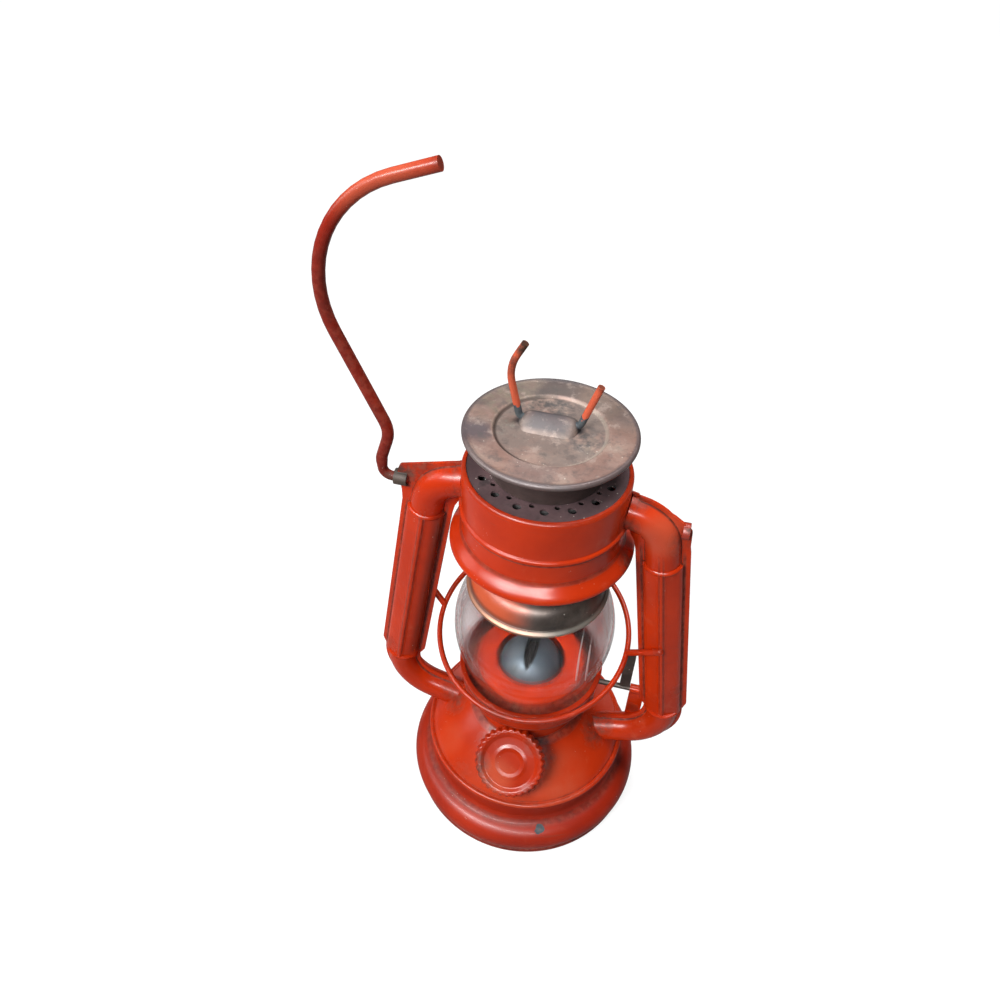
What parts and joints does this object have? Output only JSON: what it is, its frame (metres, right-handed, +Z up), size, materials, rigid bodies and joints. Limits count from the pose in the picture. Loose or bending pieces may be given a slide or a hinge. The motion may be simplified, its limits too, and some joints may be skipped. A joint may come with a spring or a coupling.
{
  "type": "kerosene lantern",
  "caption": "Tubular kerosene lantern with round tank, glass globe, side air tubes, vented hood and wire handle.",
  "frame": {"origin": "centre of the tank's base on the floor", "axes": "+Z up, -Y towards the filler cap, +X towards the tube with the lift lever"},
  "size_m": [0.1459, 0.1044, 0.2829],
  "materials": {
    "red_enamel": "gloss",
    "dull_steel": "dull",
    "dark_steel": "dull",
    "rusty_steel": "rough",
    "aged_brass": "satin",
    "clear_glass": "gloss",
    "wick_cotton": "matte",
    "gasket_rubber": "matte"
  },
  "bodies": {
    "frame": {"tank_base": "red_enamel", "tank_bowl": "red_enamel", "tank_shoulder": "red_enamel", "air_trunk": "dull_steel", "filler_neck": "red_enamel", "burner_collar": "aged_brass", "burner_body": "aged_brass", "burner_dome": "dull_steel", "wick_tube": "aged_brass", "lever_bracket": "red_enamel", "guard_ring": "red_enamel", "left_tube_front": "red_enamel", "left_tube_back": "red_enamel", "right_tube_front": "red_enamel", "right_tube_back": "red_enamel", "bail_eyelets": "rusty_steel", "hood_skirt": "red_enamel", "air_chamber": "red_enamel", "vent_plate": "rusty_steel", "chamber_floor": "rusty_steel", "hood_spring": "dark_steel"},
    "carrier": {"globe_plate": "red_enamel", "globe": "clear_glass"},
    "hood": {"hood_cap": "rusty_steel", "chimney": "dark_steel", "bell": "dark_steel", "spring_collar": "dark_steel"},
    "ring": {"lift_ring": "red_enamel"},
    "lever": {"lift_lever": "dark_steel"},
    "wick_body": {"wick": "wick_cotton"},
    "wick_gear": {"wick_shaft": "dull_steel", "wick_wheels": "dull_steel", "wick_knob": "dull_steel"},
    "cap_washer": {"cap_gasket": "gasket_rubber"},
    "cap": {"filler_cap": "red_enamel"},
    "handle": {"bail": "red_enamel"}
  },
  "joints": [
    {"name": "bail_swing", "type": "hinge", "parent": "frame", "child": "handle", "pos_m": [0, 0, 0.1657], "axis": [1, 0, 0], "range_deg": [-135, 135]},
    {"name": "globe_lift", "type": "slide", "parent": "frame", "child": "carrier", "axis": [0, 0, 1], "range_m": [0, 0.005], "deforming": ["hood_spring"]},
    {"name": "lever_turn", "type": "hinge", "parent": "frame", "child": "lever", "pos_m": [0.04, 0.004, 0.06425], "axis": [-1, 0, 0], "range_deg": [0, 24]},
    {"name": "hood_lift", "type": "slide", "parent": "carrier", "child": "hood", "axis": [0, 0, 1], "range_m": [0, 0.006], "stiffness_N_per_m": 400, "springref_m": -0.004, "deforming": ["hood_spring"]},
    {"name": "ring_fold", "type": "hinge", "parent": "hood", "child": "ring", "pos_m": [0, 0.003, 0.20005], "axis": [1, 0, 0], "range_deg": [-75, 75]},
    {"name": "wick_turn", "type": "hinge", "parent": "frame", "child": "wick_gear", "pos_m": [0.00435, 0.03, 0.058], "axis": [0, 1, 0], "range_deg": [-115, 77]},
    {"name": "wick_lift", "type": "slide", "parent": "frame", "child": "wick_body", "axis": [0, 0, 1], "range_m": [-0.006, 0.004]},
    {"name": "cap_turn", "type": "hinge", "parent": "cap_washer", "child": "cap", "pos_m": [0, -0.03649, 0.04984], "axis": [0, -0.7431, 0.6691], "range_deg": [0, 541]},
    {"name": "cap_rise", "type": "slide", "parent": "frame", "child": "cap_washer", "axis": [0, -0.7431, 0.6691], "range_m": [0, 0.00375]}
  ],
  "couplings": [
    {"joint": "lever_turn", "follows": "globe_lift", "rad_per_m": 83.333},
    {"joint": "wick_turn", "follows": "wick_lift", "rad_per_m": 333.33},
    {"joint": "cap_turn", "follows": "cap_rise", "rad_per_m": 2513.3}
  ]
}
